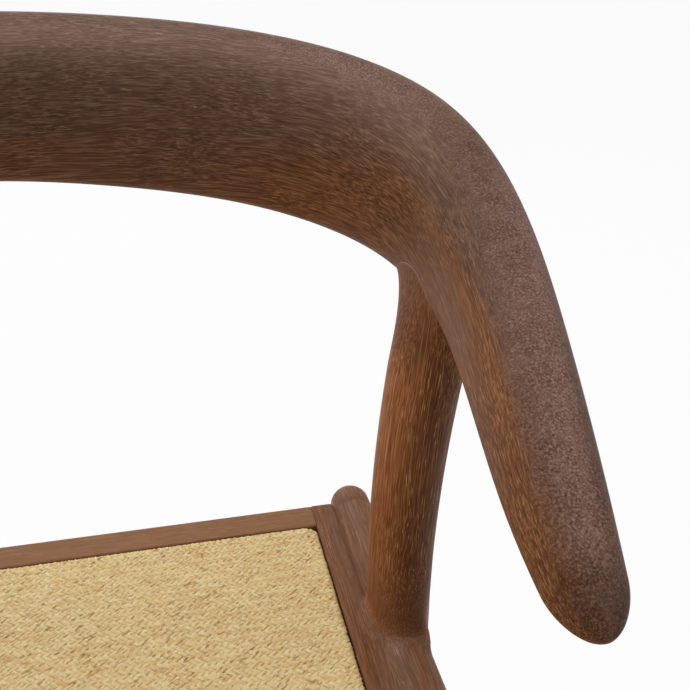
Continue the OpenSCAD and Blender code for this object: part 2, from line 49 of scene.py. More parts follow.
def node_box(name):
    """Lowest and highest corner of a node in millimetres."""
    low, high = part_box(name)
    return np.array(low) / MM, np.array(high) / MM


# Places and sizes read from the frame
rail_low, rail_high = node_box("right_side_rail")
bar_low, bar_high = node_box("right_outer_bar")
cross_low, cross_high = node_box("rear_seat_rail")
front_low, front_high = node_box("front_seat_rail")
mat_low, mat_high = node_box("seat_mat")
glide_low, glide_high = node_box("foot_glides")
seat_h = rail_high[2]
rail_bottom = rail_low[2]
inner_x = rail_low[0]
joint_x = rail_high[0]
front_y = rail_low[1]
rear_y = rail_high[1]
bar_r = (bar_high[0] - bar_low[0]) / 2
bar_mid_x = (bar_high[0] + bar_low[0]) / 2
bar_bottom = bar_low[2]
crown_z = bar_high[2] - bar_r
bar_y0 = bar_low[1] + bar_r
bar_y1 = bar_high[1] - bar_r
glide_t = glide_high[2]

# Curved rail: guide points as shares of its span, run and lift, and its section
rail_span = 272
rail_run = 384
rail_behind = 46
tip_h = 184
back_lift = 112
back_rail_h = 100
back_rail_t = 34
arm_w = 43.5
back_lean = 8
tip_round = 22
joint_at = 3.5
post_at = 3.9305
section_power = 2.4
arm_guides_from = 3
guide_across = [0, 0.355, 0.705, 0.95, 1, 0.965, 0.917, 0.903]
guide_along = [1, 0.982, 0.914, 0.745, 0.532, 0.324, 0.129, 0]
guide_up = [1, 0.954, 0.866, 0.728, 0.541, 0.341, 0.154, 0]
guide_thick = [0.976, 1.01, 1.07, 0.91, 0.99, 1, 0.91, 0.6]
guide_high = [0.956, 1, 1.012, 0.952, 0.746, 0.534, 0.33, 0.13]
guide_lean = [0.4, 6.2, 11, 11.9, 8, 2.6, -0.7, 0]
last_guide = len(guide_across) - 1
tip_y = rear_y + rail_behind - rail_run

# Rear leg
leg_d = 39.2
post_top_d = 42.4
foot_d = 27
leg_x0 = joint_x + 18.5
leg_y0 = rear_y - 109.7
foot_out = 15
foot_back = 72
foot_taper_power = 1.3
flare_h = 34
flare_pull = 1.6
mark_a = -96
mark_half = 0.4
mark_span = 52
post_end_out = 3
post_end_ahead = 5
post_end_drop = 4
face_gap = 0.05

# Front leg
front_leg_y = front_y + 44
front_foot_ahead = 14
front_leg_d = 36
neck_room = 0.4
neck_d = 2 * bar_r - neck_room

# Woven palm mat
strand_angle = math.radians(38.4)
strand_pitch = 2.7
strand_w = 2.72
strand_t = 0.36
strand_lift = 0.2
strand_sides = 6
strand_groups = 4
mat_corner_r = 7
mat_edge_r = 2.2
mat_mid = (mat_low[:2] + mat_high[:2]) / 2
mat_half = (mat_high[:2] - mat_low[:2]) / 2
mat_top = mat_high[2]
draw = np.random.default_rng(7)


# Curve and surface formulas

def guide_rows():
    """One row for each guide from one before the middle to one past the tip."""
    rows = []
    for i in range(last_guide + 1):
        thick = back_rail_t if i < arm_guides_from else arm_w
        rows.append([rail_span * guide_across[i],
                     tip_y + rail_run * guide_along[i],
                     seat_h + tip_h + back_lift * guide_up[i],
                     guide_thick[i] * thick / 2,
                     guide_high[i] * back_rail_h / 2,
                     back_lean + guide_lean[i]])
    rows = np.array(rows)
    before = rows[1] * np.array([-1, 1, 1, 1, 1, 1])
    after = 2 * rows[-1] - rows[-2]
    return np.vstack([before, rows, after])


GUIDES = guide_rows()


def mix_guides(t, rate=False):
    """Blended guide row at places t, or how fast it changes."""
    t = np.atleast_1d(np.asarray(t, float))
    span = np.clip(np.floor(t).astype(int), 0, last_guide - 1)
    u = t - span
    if rate:
        w = np.stack([-(1 - u) ** 2, 3 * u ** 2 - 4 * u, -3 * u ** 2 + 2 * u + 1, u ** 2]) / 2
    else:
        w = np.stack([(1 - u) ** 3, 3 * u ** 3 - 6 * u ** 2 + 4,
                      -3 * u ** 3 + 3 * u ** 2 + 3 * u + 1, u ** 3]) / 6
    return sum(w[k][:, None] * GUIDES[span + k] for k in range(4))


def join(*parts):
    """Puts values side by side along a new last axis, spread to the same shape first."""
    return np.stack(np.broadcast_arrays(*parts), -1)


def unit(v):
    return v / np.linalg.norm(v, axis=-1, keepdims=True)


def soft(c):
    return np.sign(c) * np.abs(c) ** (2 / section_power)


def rail_point(t, a, k=1.0):
    """Points on the rail: t along it, a in degrees round it, k the share of full size."""
    t, a, k = np.broadcast_arrays(np.asarray(t, float), np.asarray(a, float), np.asarray(k, float))
    shape = t.shape
    t, a, k = t.ravel(), np.radians(a.ravel()), k.ravel()
    row = mix_guides(t)
    ahead = unit(mix_guides(t, rate=True)[:, :3])
    out = unit(join(-ahead[:, 1], ahead[:, 0], 0.0))
    rise = np.cross(ahead, out)
    lean = np.radians(row[:, 5])[:, None]
    lean_out = np.cos(lean) * out - np.sin(lean) * rise
    lean_up = np.sin(lean) * out + np.cos(lean) * rise
    point = (row[:, :3] + (k * row[:, 3] * soft(np.cos(a)))[:, None] * lean_out
             + (k * row[:, 4] * soft(np.sin(a)))[:, None] * lean_up)
    return point.reshape(shape + (3,))


tip_step = float(np.linalg.norm((mix_guides(last_guide) - mix_guides(last_guide - 1))[0, :3]))
tip_from = last_guide - tip_round / tip_step
post_seat = rail_point(post_at, mark_a)
post_h = post_seat[2] - post_end_drop - seat_h
post_out = post_seat[0] + post_end_out - leg_x0
post_ahead = leg_y0 - post_seat[1] + post_end_ahead


def leg_axis(z):
    """Middle of the rear leg, X and Y, at height z."""
    h = np.asarray(z, float) - seat_h
    up = np.where(h > 0, h / post_h, 0)
    down = np.where(h < 0, h / seat_h, 0)
    x = leg_x0 - foot_out * h / seat_h + (post_out + foot_out * post_h / seat_h) * up ** 2
    y = leg_y0 - post_ahead * h / post_h + (foot_back - post_ahead * seat_h / post_h) * down ** 2
    return x, y


def leg_radius(z):
    h = np.asarray(z, float) - seat_h
    up = leg_d / 2 + (post_top_d - leg_d) / 2 * np.maximum(h, 0) / post_h
    down = (leg_d - foot_d) / 2 * (np.maximum(-h, 0) / seat_h) ** foot_taper_power
    return up - down


def ease(low, high, value):
    """0 at low and 1 at high, level at both ends."""
    u = np.clip((value - low) / (high - low), 0, 1)
    return u * u * (3 - 2 * u)


def bell(value, middle, width):
    """1 at the middle, falling off on both sides."""
    return np.exp(-((value - middle) / width) ** 2)


def smooth_min(a, b, k):
    """Lower of two distances, rounded where they are within k of each other."""
    h = np.clip(0.5 + 0.5 * (b - a) / k, 0, 1)
    return b * (1 - h) + a * h - k * h * (1 - h)


# Sculpted seat frame: one surface that the side rail, the outer bar and the leg share
toe_from = seat_h - 3
toe_h = 62
toe_ahead = 21
toe_inset = 1.5
toe_blend = 9
valley_depth = 4.0
ahead_depth = 3.7
groove_depth = 0.4
groove_w = 0.9
bar_edge_r = 2
bar_top = crown_z + bar_r
seam_x = joint_x - 0.3
skin_sink = 0.06
close_ahead = 77.185
close_behind = 42.815
seam_share = 0.26
search_h = 30


def leg_distance(x, y, z):
    ax, ay = leg_axis(z)
    return np.hypot(x - ax, y - ay) - leg_radius(z)


def post_distance(x, y, z):
    """The leg with its toe: above the bar it spreads forwards, as wide as the bar."""
    up = np.clip((z - toe_from) / toe_h, 0, 1)
    ax, ay = leg_axis(z)
    toe_x = bar_mid_x + (ax - bar_mid_x) * up
    toe_y = ay - toe_ahead * (1 - up) ** 1.5
    toe_r = bar_r + (leg_radius(z) - toe_inset - bar_r) * up
    toe = np.hypot(x - toe_x, y - toe_y) - toe_r + np.maximum(toe_from - z, 0)
    return smooth_min(leg_distance(x, y, z), toe, 0.01 + toe_blend * (1 - up))


def past_end(y):
    """How far a place lies beyond the straight part of the outer bar."""
    return np.maximum(np.maximum(bar_y0 - y, y - bar_y1), 0)


def bar_distance(x, y, z):
    plan = np.hypot(x - bar_mid_x, past_end(y))
    above = np.maximum(z - crown_z, 0)
    body = np.hypot(plan, above) - bar_r
    under = bar_bottom - z
    corner = np.hypot(np.maximum(body + bar_edge_r, 0), np.maximum(under + bar_edge_r, 0))
    return np.minimum(np.maximum(body, under) + bar_edge_r, 0) + corner - bar_edge_r


def top_level(x, y):
    """Height of the side rail and the bar's inner half, before the leg is blended in."""
    side = np.minimum(x - bar_mid_x, 0)
    crown = crown_z + np.sqrt(np.maximum(bar_r ** 2 - side ** 2, 0))
    plain = seat_h + (bar_top - seat_h) * ease(joint_x - 4, joint_x + 10, x)
    wall = seat_h - valley_depth * ease(joint_x - 4.5, joint_x + 2, x)
    behind = -smooth_min(-crown, -wall, 2.0)
    flank = (1 - np.clip((x - joint_x + 9.5) / 16, 0, 1)) ** 1.3
    groove = groove_depth * bell(x, seam_x, groove_w)
    ahead = plain - ahead_depth * ease(joint_x - 14.5, joint_x - 8.5, x) * flank - groove
    behind_share = ease(leg_y0 - 6, leg_y0 + 14, y)
    ahead_share = ease(leg_y0 - 2, leg_y0 - 62, y)
    return plain + behind_share * (behind - plain) + ahead_share * (ahead - plain)


def blend_reach(x, y):
    """How wide the hollow round the foot of the post is."""
    outside = ease(bar_mid_x + 2, bar_mid_x + 12, x)
    ahead = ease(leg_y0 + 8, leg_y0 - 14, y)
    far_ahead = ease(leg_y0 - 14, leg_y0 - 40, y)
    return 5 + ahead * (5 - 2 * outside) + 10 * outside * far_ahead


def seam_reach(x, y):
    """How far from the post's own form its skin runs over the shared surface."""
    return seam_share * blend_reach(x, y)


def frame_distance(x, y, z, with_rail=True, own_skin=False):
    """Distance to the shared surface, for the post's own skin or for a piece beside it.
    Each skin sinks a little where the other one covers it."""
    bar = bar_distance(x, y, z)
    if with_rail:
        bar = np.where(x < bar_mid_x, z - top_level(x, y), bar)
    post = post_distance(x, y, z)
    seam = seam_reach(x, y)
    if own_skin:
        sunk = ease(seam - 0.3, seam + 1.1, post)
    else:
        sunk = ease(seam + 0.3, seam - 1.1, post)
        post = np.maximum(post, seam - 1.3)
    return smooth_min(bar, post, blend_reach(x, y)) + skin_sink * sunk


def first_root(distance, low, high, steps=30):
    """Bisects for where distance turns from inside to outside, arrays in and out."""
    low = np.array(low, float)
    high = np.array(high, float)
    for _ in range(steps):
        mid = (low + high) / 2
        inside = distance(mid) < 0
        low = np.where(inside, mid, low)
        high = np.where(inside, high, mid)
    return (low + high) / 2


# Mesh making

def write_mesh(name, points, quads, triangles, quad_uv, triangle_uv, values):
    """Object from arrays: points in millimetres, faces, their UV and values kept at the points."""
    mesh = bpy.data.meshes.new(name)
    corners = np.concatenate([quads.ravel(), triangles.ravel()]).astype(np.int32)
    starts = np.concatenate([np.arange(len(quads)) * 4,
                             len(quads) * 4 + np.arange(len(triangles)) * 3]).astype(np.int32)
    mesh.vertices.add(len(points))
    mesh.vertices.foreach_set("co", (points * MM).astype(np.float32).ravel())
    mesh.loops.add(len(corners))
    mesh.loops.foreach_set("vertex_index", corners)
    mesh.polygons.add(len(starts))
    mesh.polygons.foreach_set("loop_start", starts)
    mesh.polygons.foreach_set("use_smooth", np.ones(len(starts), bool))
    layer = mesh.uv_layers.new(name="OFBake")
    flat = np.concatenate([quad_uv.reshape(-1, 2), triangle_uv.reshape(-1, 2)])
    layer.uv.foreach_set("vector", flat.astype(np.float32).ravel())
    for key, value in values.items():
        kind = "FLOAT_VECTOR" if value.ndim == 2 else "FLOAT"
        field = mesh.attributes.new(key, kind, "POINT")
        field.data.foreach_set("vector" if value.ndim == 2 else "value",
                               value.astype(np.float32).ravel())
    mesh.update(calc_edges=True)
    mesh.validate()
    made = bpy.data.objects.new(name, mesh)
    bpy.context.scene.collection.objects.link(made)
    return made


def tube_faces(across, along):
    """Quads between rings and the UV of their corners, from the places round and along the tube."""
    m, n = len(along), len(across) - 1
    j, i = [grid.ravel() for grid in np.meshgrid(np.arange(m - 1), np.arange(n), indexing="ij")]
    k = (i + 1) % n
    quads = join(j * n + i, j * n + k, (j + 1) * n + k, (j + 1) * n + i)
    return quads, join(across[join(i, i + 1, i + 1, i)], along[join(j, j, j + 1, j + 1)])


def fan_uv(one, other, edge, tip):
    """UV of a fan that closes an end: two places on its edge and one at its tip."""
    return join(join(one, other, (one + other) / 2) / len(one), [edge, edge, tip])


def skin(name, rings, values):
    """Closed tube through rings with a fan at each end. Values are arrays at the rings' points."""
    m, n = rings.shape[:2]
    points = np.vstack([rings.reshape(-1, 3), rings[0].mean(0), rings[-1].mean(0)])
    steps = np.linalg.norm(np.diff(rings, axis=0), axis=2).mean(1)
    v = 0.02 + 0.96 * np.concatenate([[0], np.cumsum(steps)]) / steps.sum()
    quads, quad_uv = tube_faces(np.arange(n + 1) / n, v)
    i = np.arange(n)
    k = (i + 1) % n
    last = (m - 1) * n
    triangles = np.vstack([join(k, i, m * n), join(last + i, last + k, m * n + 1)])
    triangle_uv = np.vstack([fan_uv(i + 1, i, 0.02, 0), fan_uv(i, i + 1, 0.98, 1)])
    spread = {}
    for key, value in values.items():
        flat = value.reshape((m * n,) + value.shape[2:])
        spread[key] = np.concatenate([flat, [value[0].mean(0), value[-1].mean(0)]])
    a, b, c, d = [points[quads[:, corner]] for corner in range(4)]
    volume = (a * (np.cross(b, c) + np.cross(c, d))).sum()
    if volume < 0:
        quads, quad_uv = quads[:, ::-1], quad_uv[:, ::-1]
        triangles, triangle_uv = triangles[:, ::-1], triangle_uv[:, ::-1]
    return write_mesh(name, points, quads, triangles, quad_uv, triangle_uv, spread)


def board_grain(rings, along, shift):
    """Places in the board that a piece was cut from: the first axis runs along its grain."""
    oblique = [0.3, 0.2, 0.93]
    along = unit(np.array(along, float))
    side = unit(np.cross(along, oblique))
    rise = np.cross(side, along)
    return join(rings @ along, rings @ side, rings @ rise) + np.array(shift, float)


MIRROR = np.array([-1, 1, 1])
# What the dark wood reads at each point, and its value on a piece that doesn't set it. Its tone also carries
# painted light and shade, and its sheen share is painted sheen.
LOOKS = {"tone": 1.0, "glue": 0.0, "fleck": 0.3, "warm": 0.0, "speckle": 0.0, "bloom": 0.0, "plain": 0.0}


def wood_piece(node, kind, rings, grain, **looks):
    """The piece that takes a node's place, as one object with its grain and its looks."""
    values = {"grain": grain}
    for key, value in {**LOOKS, **looks}.items():
        values[key] = np.broadcast_to(np.asarray(value, float), rings.shape[:2]).copy()
    finish_piece(skin(node + "_" + kind, rings, values), dark_wood, [node])


def finish_piece(piece, material, nodes):
    piece.data.materials.append(material)
    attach(piece, "root")
    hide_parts(*nodes)


def both_sides(build, *shifts):
    """Builds the right piece and its mirror image, each from its own place in the board."""
    build("right", np.array([1, 1, 1]), *shifts[:1])
    build("left", MIRROR, *shifts[1:])


# Materials

def put(tree, kind, inputs=None, **settings):
    """Adds a shader node. Inputs are values or other nodes' outputs."""
    made = tree.nodes.new("ShaderNode" + kind)
    for key, value in settings.items():
        setattr(made, key, value)
    for key, value in (inputs or {}).items():
        socket = made.inputs[key]
        if isinstance(value, bpy.types.NodeSocket):
            tree.links.new(value, socket)
        else:
            socket.default_value = value
    return made


def calc(tree, operation, a, b=0.0, c=0.0):
    return put(tree, "Math", {0: a, 1: b, 2: c}, operation=operation).outputs[0]


def times(tree, a, b, plus=0.0):
    return calc(tree, "MULTIPLY_ADD", a, b, plus)


def scaled(tree, vector, scale):
    return put(tree, "VectorMath", {0: vector, 1: scale}, operation="MULTIPLY").outputs[0]


def noise(tree, vector, stretch, detail=1.0, roughness=0.5, distortion=0.0, output="Fac"):
    """Noise over places that are first multiplied by stretch, axis by axis."""
    return put(tree, "TexNoise", {"Vector": scaled(tree, vector, stretch), "Scale": 1.0, "Detail": detail,
                                  "Roughness": roughness, "Distortion": distortion}).outputs[output]


def ramp(tree, factor, low, high):
    """0 below low, 1 above high, smooth between."""
    return put(tree, "MapRange", {"Value": factor, "From Min": low, "From Max": high},
               interpolation_type="SMOOTHSTEP").outputs[0]


def mix(tree, factor, a, b):
    return put(tree, "Mix", {0: factor, 6: a, 7: b}, data_type="RGBA", blend_type="MIX").outputs[2]


def lay(tree, below, above, share, strength):
    """Colour below with colour above laid over it, as strongly as share times strength."""
    return mix(tree, times(tree, share, strength), below, above)


def field(tree, name, output="Fac"):
    return put(tree, "Attribute", attribute_name=name).outputs[output]


def object_place(tree):
    """Places on the object in millimetres."""
    return scaled(tree, put(tree, "TexCoord").outputs["Object"], (1 / MM, 1 / MM, 1 / MM))


def new_material(name):
    made = bpy.data.materials.new(name)
    made.use_nodes = True
    return made, made.node_tree, made.node_tree.nodes["Principled BSDF"]


def finish_shader(tree, shader, colour, rough):
    tree.links.new(colour, shader.inputs["Base Color"])
    tree.links.new(rough, shader.inputs["Roughness"])


def bump(tree, shader, height, distance, strength):
    made = put(tree, "Bump", {"Height": height, "Distance": distance, "Strength": strength})
    tree.links.new(made.outputs[0], shader.inputs["Normal"])


# Shades of the dark wood, each as it is where the wood is cool and where it is warm
WOOD_SHADES = {"dark": ((0.092, 0.044, 0.026, 1), (0.09, 0.03, 0.011, 1)),
               "middle": ((0.168, 0.082, 0.048, 1), (0.185, 0.068, 0.026, 1)),
               "light": ((0.27, 0.148, 0.096, 1), (0.31, 0.13, 0.05, 1)),
               "lit": ((0.33, 0.2, 0.135, 1), (0.4, 0.185, 0.078, 1)),
               "smooth": ((0.225, 0.124, 0.076, 1), (0.225, 0.088, 0.038, 1))}
DEEP_PORE = (0.042, 0.018, 0.01, 1)
LIT_SPECK = (0.315, 0.182, 0.122, 1)
PALE_FLECK = (0.56, 0.37, 0.2, 1)
GLUE_LINE = (0.4, 0.26, 0.15, 1)
# Grey-blue lift of the painted sheen
PAINTED_SHEEN_GAIN = (0.62, 0.85, 1.25)


def wavy_grain(tree):
    """Places in the board, bent by slow waves across the grain."""
    grain = field(tree, "grain", "Vector")
    waves = noise(tree, grain, (0.012, 0.04, 0.04), output="Color")
    return put(tree, "VectorMath", {0: waves, 1: (0, 7, 7), 2: grain}, operation="MULTIPLY_ADD").outputs[0]


def wood_along(tree, ground, shade, warm, streak, fine, pore):
    """Colour where the surface runs with the grain: streaks, fine lines and pores."""
    colour = lay(tree, ground, shade["light"], ramp(tree, streak, 0.43, 0.6), 0.66)
    colour = lay(tree, colour, shade["dark"], ramp(tree, fine, 0.54, 0.4), 0.72)
    lit_share = times(tree, warm, 0.4, 0.15)
    colour = lay(tree, colour, shade["lit"], ramp(tree, fine, 0.58, 0.68), lit_share)
    return lay(tree, colour, DEEP_PORE, pore, 0.5)


def wood_across(tree, ground, shade, cloud, dots, dark_dots):
    """Colour where the surface cuts the grain: light and dark specks over slow clouds, tinted a little bluer
    as painted sheen.
    """
    colour = lay(tree, ground, shade["light"], ramp(tree, cloud, 0.4, 0.62), 0.3)
    colour = lay(tree, colour, LIT_SPECK, ramp(tree, dots, 0.48, 0.66), 0.9)
    colour = lay(tree, colour, DEEP_PORE, dark_dots, 0.7)
    return scaled(tree, colour, (1.0, 0.99, 1.08))


def make_dark_wood():
    """Oiled dark hardwood: figure, streaks and pores along the grain, or specks where the cut
    crosses it, redder where it is warm and greyer where painted sheen is laid on; its tone also carries
    painted light and shade."""
    made, tree, shader = new_material("dark_wood")
    looks = {name: field(tree, name) for name in LOOKS}
    grain = wavy_grain(tree)
    place = object_place(tree)
    figure = noise(tree, grain, (0.004, 0.055, 0.055), 3.0, 0.55, 0.6)
    streak = noise(tree, grain, (0.014, 0.8, 0.8), 2.0, 0.65)
    fine = noise(tree, grain, (0.038, 2.0, 2.0))
    pore = ramp(tree, noise(tree, grain, (0.05, 1.2, 1.2)), 0.57, 0.67)
    fleck = ramp(tree, noise(tree, grain, (0.068, 1.53, 1.53)), 0.66, 0.74)
    dots = noise(tree, place, (0.95, 0.95, 0.95), 2.0, 0.75)
    cloud = noise(tree, place, (0.1, 0.1, 0.1), 3.0, 0.6)
    dark_dots = ramp(tree, dots, 0.46, 0.3)
    warm = ramp(tree, times(tree, figure, 0.7, looks["warm"]), 0.44, 1.26)
    speckle = ramp(tree, times(tree, cloud, 0.9, looks["speckle"]), 0.58, 1.26)
    shade = {name: mix(tree, warm, cool, hot) for name, (cool, hot) in WOOD_SHADES.items()}
    ground = mix(tree, ramp(tree, figure, 0.34, 0.62), mix(tree, 0.5, shade["dark"], shade["middle"]),
                 shade["middle"])
    along = wood_along(tree, ground, shade, warm, streak, fine, pore)
    along = lay(tree, along, shade["smooth"], looks["plain"], 0.8)
    colour = mix(tree, speckle, along, wood_across(tree, ground, shade, cloud, dots, dark_dots))
    flecked = times(tree, fleck, looks["fleck"])
    colour = lay(tree, colour, PALE_FLECK, flecked, calc(tree, "SUBTRACT", 1.0, speckle))
    # Painted sheen: a grey-blue lift laid over the colour where the surface would catch the bright
    # surroundings
    gain = put(tree, "VectorMath", {0: PAINTED_SHEEN_GAIN, 3: looks["bloom"]}, operation="SCALE").outputs[0]
    colour = put(tree, "VectorMath", {0: colour, 1: gain, 2: colour}, operation="MULTIPLY_ADD").outputs[0]
    colour = lay(tree, colour, GLUE_LINE, looks["glue"], 0.45)
    # Tone, which on the rail and the rear legs also carries painted light and shade
    colour = put(tree, "VectorMath", {0: colour, 3: looks["tone"]}, operation="SCALE").outputs[0]
    finish_shader(tree, shader, colour, times(tree, streak, 0.16, 0.42))
    shader.inputs["Specular IOR Level"].default_value = 0.08
    pitted = times(tree, mix(tree, speckle, pore, dark_dots), -0.8)
    bump(tree, shader, times(tree, fine, 0.5, pitted), 0.0001, 0.6)
    return made


def make_pale_wood(name, low, high):
    """Plain sanded beech or ply for the parts under the seat."""
    made, tree, shader = new_material(name)
    place = object_place(tree)
    figure = noise(tree, place, (0.009, 0.06, 0.06), 3.0, 0.6)
    flake = noise(tree, place, (0.09, 0.5, 0.5))
    dark = (low[0] * 0.6, low[1] * 0.55, low[2] * 0.5, 1)
    colour = mix(tree, ramp(tree, figure, 0.3, 0.7), low, high)
    colour = lay(tree, colour, dark, ramp(tree, flake, 0.6, 0.7), 0.3)
    finish_shader(tree, shader, colour, times(tree, flake, 0.2, 0.5))
    bump(tree, shader, flake, 0.0001, 0.5)
    return made


# Shades of the palm strips
STRIP_DARK = (0.84, 0.465, 0.145, 1)
STRIP_LIGHT = (1.0, 0.78, 0.36, 1)
PALE_FIBRE = (1.0, 0.84, 0.47, 1)
BROWN_SPECK = (0.46, 0.27, 0.09, 1)
PALE_EDGE = (1.0, 0.86, 0.5, 1)
GLEAM = (1.0, 0.92, 0.62, 1)
TICK_SHADOW = (0.42, 0.21, 0.055, 1)
SLIT_SHADOW = (0.34, 0.17, 0.045, 1)
# Strips of the rising set carry a number above this one, those of the falling set a lower one.
rising_from = 500.0


def make_palm():
    """Split palm strips: shades that change from stretch to stretch, long fibres, painted glints, and painted
    shadow in short slits, in ticks and along one edge of the rising strips.
    """
    made, tree, shader = new_material("palm_mat")
    strip = field(tree, "strip", "Vector")
    place = object_place(tree)
    turned = put(tree, "VectorRotate", {"Vector": place, "Angle": -strand_angle},
                 rotation_type="Z_AXIS").outputs[0]
    patch = noise(tree, place, (0.07, 0.11, 0.11), 3.0, 0.7)
    tick_shadows = noise(tree, turned, (0.17, 0.6, 0.3))
    gleams = noise(tree, turned, (0.459, 0.782, 0.51))
    wander = noise(tree, strip, (0.05, 0.0, 1.0), 3.0, 0.6)
    part = noise(tree, strip, (0.19, 0.0, 1.0))
    fibre = noise(tree, strip, (0.12, 2.6, 1.0), 2.0, 0.6)
    speck = noise(tree, strip, (0.33, 0.8, 1.0))
    mixed = times(tree, wander, 0.5, times(tree, field(tree, "shade"), 0.25))
    mixed = times(tree, part, 0.7, mixed)
    mixed = calc(tree, "ADD", patch, mixed)
    parted = put(tree, "SeparateXYZ", {0: strip}).outputs
    rising = calc(tree, "GREATER_THAN", parted["Z"], rising_from)
    falling = calc(tree, "SUBTRACT", 1.0, rising)
    edge = times(tree, ramp(tree, calc(tree, "ABSOLUTE", parted["Y"]), 0.85, 1.25), falling)
    # Painted shade: a dark rim along one edge of each rising strip, where the gaps would lie in shadow
    rim = times(tree, ramp(tree, parted["Y"], 0.35, 1.1), rising)
    slit_shadow = times(tree, rim, ramp(tree, part, 0.5, 0.6))
    slit_shadow = times(tree, slit_shadow, ramp(tree, patch, 0.68, 0.46))
    colour = mix(tree, ramp(tree, mixed, 0.78, 1.58), STRIP_DARK, STRIP_LIGHT)
    colour = lay(tree, colour, PALE_FIBRE, ramp(tree, fibre, 0.4, 0.66), 0.5)
    colour = lay(tree, colour, BROWN_SPECK, ramp(tree, speck, 0.64, 0.76), 0.55)
    colour = lay(tree, colour, PALE_EDGE, edge, 0.6)
    # Painted highlights: short pale glints along the strips
    colour = lay(tree, colour, GLEAM, ramp(tree, gleams, 0.55, 0.68), 0.75)
    # Painted shadow in short dark ticks and slits between the strips
    colour = lay(tree, colour, TICK_SHADOW, ramp(tree, tick_shadows, 0.6, 0.72), 0.75)
    colour = lay(tree, colour, SLIT_SHADOW, slit_shadow, 0.65)
    finish_shader(tree, shader, colour, times(tree, fibre, 0.2, 0.45))
    shader.inputs["Specular IOR Level"].default_value = 0.12
    bump(tree, shader, times(tree, patch, 2.0, fibre), 0.00016, 0.6)
    return made


def make_steel():
    made, tree, shader = new_material("screw_steel")
    cloud = noise(tree, object_place(tree), (0.7, 0.7, 0.7), 3.0, 0.6)
    colour = mix(tree, cloud, (0.5, 0.5, 0.53, 1), (0.66, 0.66, 0.67, 1))
    finish_shader(tree, shader, colour, times(tree, cloud, 0.2, 0.25))
    shader.inputs["Metallic"].default_value = 1.0
    return made


def make_plastic():
    made, tree, shader = new_material("glide_plastic")
    grit = noise(tree, object_place(tree), (1.5, 1.5, 1.5), 2.0, 0.6)
    colour = mix(tree, grit, (0.012, 0.011, 0.01, 1), (0.022, 0.02, 0.018, 1))
    finish_shader(tree, shader, colour, times(tree, grit, 0.2, 0.45))
    bump(tree, shader, grit, 0.00005, 0.5)
    return made


dark_wood = make_dark_wood()
pale_wood = make_pale_wood("pale_wood", (0.42, 0.26, 0.125, 1), (0.56, 0.37, 0.19, 1))
plywood = make_pale_wood("plywood", (0.5, 0.34, 0.175, 1), (0.62, 0.45, 0.25, 1))
palm_mat = make_palm()
screw_steel = make_steel()
glide_plastic = make_plastic()


# Back rail and arms

# Places along the rail count its guides, from 0 in the middle of the back to the last at the arm's
# tip. Places round it are in degrees: 0 outside, 90 on top, 180 inside and 270 below.
rail_sides = 128
around = np.arange(rail_sides) * 360 / rail_sides
ring_gap = 0.025
NEAR_JOINT = np.array([0.0006, 0.003, 0.006, 0.01, 0.016, 0.03, 0.06])


def drawn_in(t):
    """Share of full size, a little less at the rail's glue joint."""
    return 1 - 0.002 * bell(t, joint_at, 0.004)


WALK = np.arange(0, last_guide + 0.01, 0.01)
STEPS = np.linalg.norm(np.diff(mix_guides(WALK)[:, :3], axis=0), axis=1)
WALKED = np.concatenate([[0], np.cumsum(STEPS)])
DRIFTED = np.concatenate([[0], np.cumsum(STEPS * (0.04 + 0.05 * ease(4.6, 3.2, WALK[1:])))])


def rail_grain(t, k):
    """Places in the bent board: the first axis runs along the rail, the others across its section."""
    row = mix_guides(t)
    side = (k * row[:, 3])[:, None] * soft(np.cos(np.radians(around)))
    rise = (k * row[:, 4])[:, None] * soft(np.sin(np.radians(around)))
    length = np.interp(t, WALK, WALKED)[:, None]
    drift = np.interp(t, WALK, DRIFTED)[:, None]
    return join(length, side + drift, rise - 0.7 * drift)


def rail_looks(t):
    """Shares of warmth, painted sheen, specks and tone over the rail's own surface; the tone includes painted
    light and shade.
    """
    t, a = np.broadcast_arrays(t[:, None], around[None, :])
    # Painted sheen tint: the wood is warmer where the surface faces in and down and cooler where it faces up
    # and out
    warm_from = np.interp(t, [0, 2, 3, 4, 4.5, 5, 6.5, 7], [176, 172, 160, 154, 144, 122, 98, 72])
    warm = ease(-6, 40, a - warm_from) * ease(340, 300, a)
    warm = warm * (0.45 + 0.55 * ease(1.6, 3.0, t))
    inner = ease(158, 178, a) * ease(300, 260, a)
    inner = inner * ease(3.4, 3.9, t) * ease(5.6, 4.8, t)
    # Painted sheen: a band along the top front of the back, a crest along the top of the arms, and a shoulder
    # over the bend
    sheen_band = bell(a, 136, 24) * ease(3.9, 1.8, t) * (1.1 + 0.4 * ease(2.0, 0.6, t))
    crest = 0.45 * bell(a, 84, 20) * ease(3.6, 4.4, t) * ease(6.7, 6.3, t)
    shoulder = np.interp(t, [1.8, 2.5, 3, 3.5, 4, 4.5, 5, 5.5, 6, 6.6],
                         [0.1, 0.5, 1, 1, 0.5, 0.3, 0.7, 1, 0.4, 0.1]) * bell(a, 150, 17)
    speckle = ease(166, 92, a) * ease(1.0, 2.6, t)
    return {"warm": warm * (1 - 0.25 * inner), "bloom": sheen_band + crest + 0.3 * shoulder,
            "speckle": np.maximum(speckle, ease(290, 340, a)), "tone": rail_tone(t, a),
            "plain": 0.3 * sheen_band + 0.3 * shoulder + 0.4 * inner}


